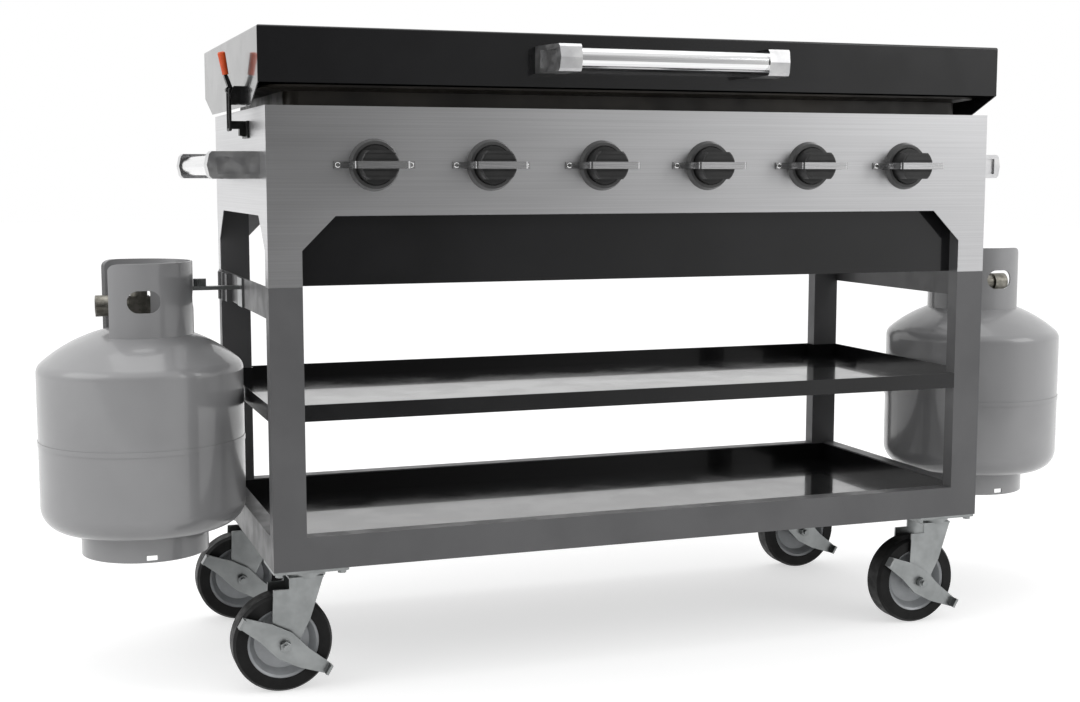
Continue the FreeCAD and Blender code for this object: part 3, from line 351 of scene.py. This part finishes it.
def dress_all():
    latch_arms = on_each("latch_arm_%s", SIDES) + on_each("latch_hook_%s", SIDES)
    casters = on_each("caster_fork_%s", CORNERS) + on_each("caster_brake_%s", CORNERS)
    dress(stainless_steel(), ["front_panel", "rear_panel", "side_panels"])
    dress(frame_paint(), ["corner_posts", "lower_rails", "crossbars"])
    dress(black_paint(), ["lid_shell", "apron", "middle_shelf", "lower_tray", "burner_box", "grease_cup"])
    dress(griddle_steel(), ["griddle_plate"])
    dress(handle_metal("lid_handle_metal", "X", 0.0), ["lid_handle"])
    dress(handle_metal("side_handle_metal", "Y", CART_MIDDLE_Y), ["side_handles"])
    dress(guard_steel(), ["knob_guards"])
    dress(black_plastic("knob_black", 0.165, 0.34), KNOBS)
    dress(black_plastic("bezel_grey", 0.27, 0.36), ["knob_bezels"])
    dress(zinc(), ["caster_mounts", "tank_hangers"] + casters)
    dress(rim_grey(), on_each("caster_rim_%s", CORNERS))
    dress(tyre_rubber(), on_each("caster_tyre_%s", CORNERS))
    dress(bright_screw(), ["guard_screws"])
    dress(black_steel(), ["latch_catches", "latch_bases", "lid_hinges"] + latch_arms)
    dress(orange_rubber(), on_each("latch_grip_%s", SIDES))
    dress(tank_paint(), on_each("tank_cylinder_%s", SIDES))
    dress(valve_metal(), ["gas_valves"] + on_each("tank_valve_%s", SIDES))
    dress(black_plastic("wheel_black", 0.14, 0.42), on_each("tank_handwheel_%s", SIDES))
    dress(burner_steel(), ["burners", "gas_manifold"])


def make_camera():
    data = bpy.data.cameras.new("photo_camera")
    data.lens = CAMERA_LENS
    data.sensor_width = SENSOR_WIDTH
    camera = bpy.data.objects.new("photo_camera", data)
    camera.location = CAMERA_PLACE
    camera.rotation_euler = (math.radians(90 + CAMERA_PITCH), 0, math.radians(-CAMERA_YAW))
    bpy.context.collection.objects.link(camera)
    bpy.context.scene.camera = camera


def shown_rays(tree):
    """1 for the rays that show the background: straight, mirrored or through glass."""
    path = tree.nodes.new("ShaderNodeLightPath")
    shown = math_node(tree, "ADD", path.outputs["Is Camera Ray"], path.outputs["Is Glossy Ray"])
    return math_node(tree, "ADD", shown, path.outputs["Is Transmission Ray"])


def studio_level(tree):
    """How bright the studio is in each direction, as metal shows it."""
    coords = tree.nodes.new("ShaderNodeTexCoord")
    split = tree.nodes.new("ShaderNodeSeparateXYZ")
    tree.links.new(coords.outputs["Generated"], split.inputs[0])
    forward = math_node(tree, "MULTIPLY", split.outputs["Y"], -1.0)
    angle = math_node(tree, "ARCTAN2", split.outputs["X"], forward)
    right = smooth_range(tree, angle, math.radians(RIGHT_START), math.radians(RIGHT_END),
                         STUDIO_DARK, STUDIO_BRIGHT)
    left = smooth_range(tree, angle, math.radians(LEFT_START), math.radians(LEFT_END), 0.0, STUDIO_BRIGHT)
    overhead = smooth_range(tree, split.outputs["Z"], OVERHEAD_START, OVERHEAD_END, 0.0, 1.0)
    return math_node(tree, "MAXIMUM", math_node(tree, "MAXIMUM", right, left), overhead)


def make_world():
    """White studio all round but for a dark stretch in front of the object."""
    world = bpy.data.worlds.new("studio")
    world.use_nodes = True
    tree = world.node_tree
    tree.nodes.clear()
    path = tree.nodes.new("ShaderNodeLightPath")
    level = math_node(tree, "MAXIMUM", studio_level(tree), path.outputs["Is Camera Ray"])
    mix = tree.nodes.new("ShaderNodeMix")
    mix.inputs["A"].default_value = FILL_LEVEL
    tree.links.new(shown_rays(tree), mix.inputs["Factor"])
    tree.links.new(level, mix.inputs["B"])
    background = tree.nodes.new("ShaderNodeBackground")
    background.inputs["Color"].default_value = (1, 1, 1, 1)
    tree.links.new(mix.outputs["Result"], background.inputs["Strength"])
    out = tree.nodes.new("ShaderNodeOutputWorld")
    tree.links.new(background.outputs[0], out.inputs["Surface"])
    bpy.context.scene.world = world


def floor_material():
    material = bpy.data.materials.new("studio_floor")
    material.use_nodes = True
    tree = material.node_tree
    base = tree.nodes["Principled BSDF"]
    base.inputs["Base Color"].default_value = (FLOOR_GREY, FLOOR_GREY, FLOOR_GREY, 1)
    base.inputs["Roughness"].default_value = 0.9
    base.inputs["Specular IOR Level"].default_value = 0.1
    base.inputs["Emission Color"].default_value = (1, 1, 1, 1)
    glow = math_node(tree, "MULTIPLY", shown_rays(tree), FLOOR_GLOW)
    tree.links.new(glow, base.inputs["Emission Strength"])
    return material


def make_floor():
    """A pale floor that keeps the object's shadow and meets the white background."""
    mesh = bpy.data.meshes.new("studio_floor")
    corners = [(-FLOOR_HALF_WIDTH, FLOOR_NEAR, 0), (FLOOR_HALF_WIDTH, FLOOR_NEAR, 0),
               (FLOOR_HALF_WIDTH, FLOOR_FAR, 0), (-FLOOR_HALF_WIDTH, FLOOR_FAR, 0)]
    mesh.from_pydata(corners, [], [(0, 1, 2, 3)])
    floor = bpy.data.objects.new("studio_floor", mesh)
    bpy.context.collection.objects.link(floor)
    floor.data.materials.append(floor_material())


def area_lamp(name, place, target, size, power):
    data = bpy.data.lights.new(name, "AREA")
    data.shape = "RECTANGLE"
    data.size, data.size_y = size
    data.energy = power
    lamp = bpy.data.objects.new(name, data)
    lamp.location = place
    lamp.rotation_euler = (Vector(target) - Vector(place)).to_track_quat("-Z", "Y").to_euler()
    bpy.context.collection.objects.link(lamp)


def make_lamps():
    area_lamp("left_soft", (-3.2, -0.6, 2.2), (0, 0, 0.5), (2.6, 2.0), 26)
    area_lamp("right_soft", (3.0, -2.8, 2.4), (0.2, 0, 0.6), (2.2, 2.0), 34)
    area_lamp("top_soft", (0.0, 0.2, 3.2), (0, 0, 0), (3.0, 2.0), 20)


bpy.context.scene.view_settings.view_transform = "Standard"
make_camera()
make_world()
make_floor()
make_lamps()
dress_all()
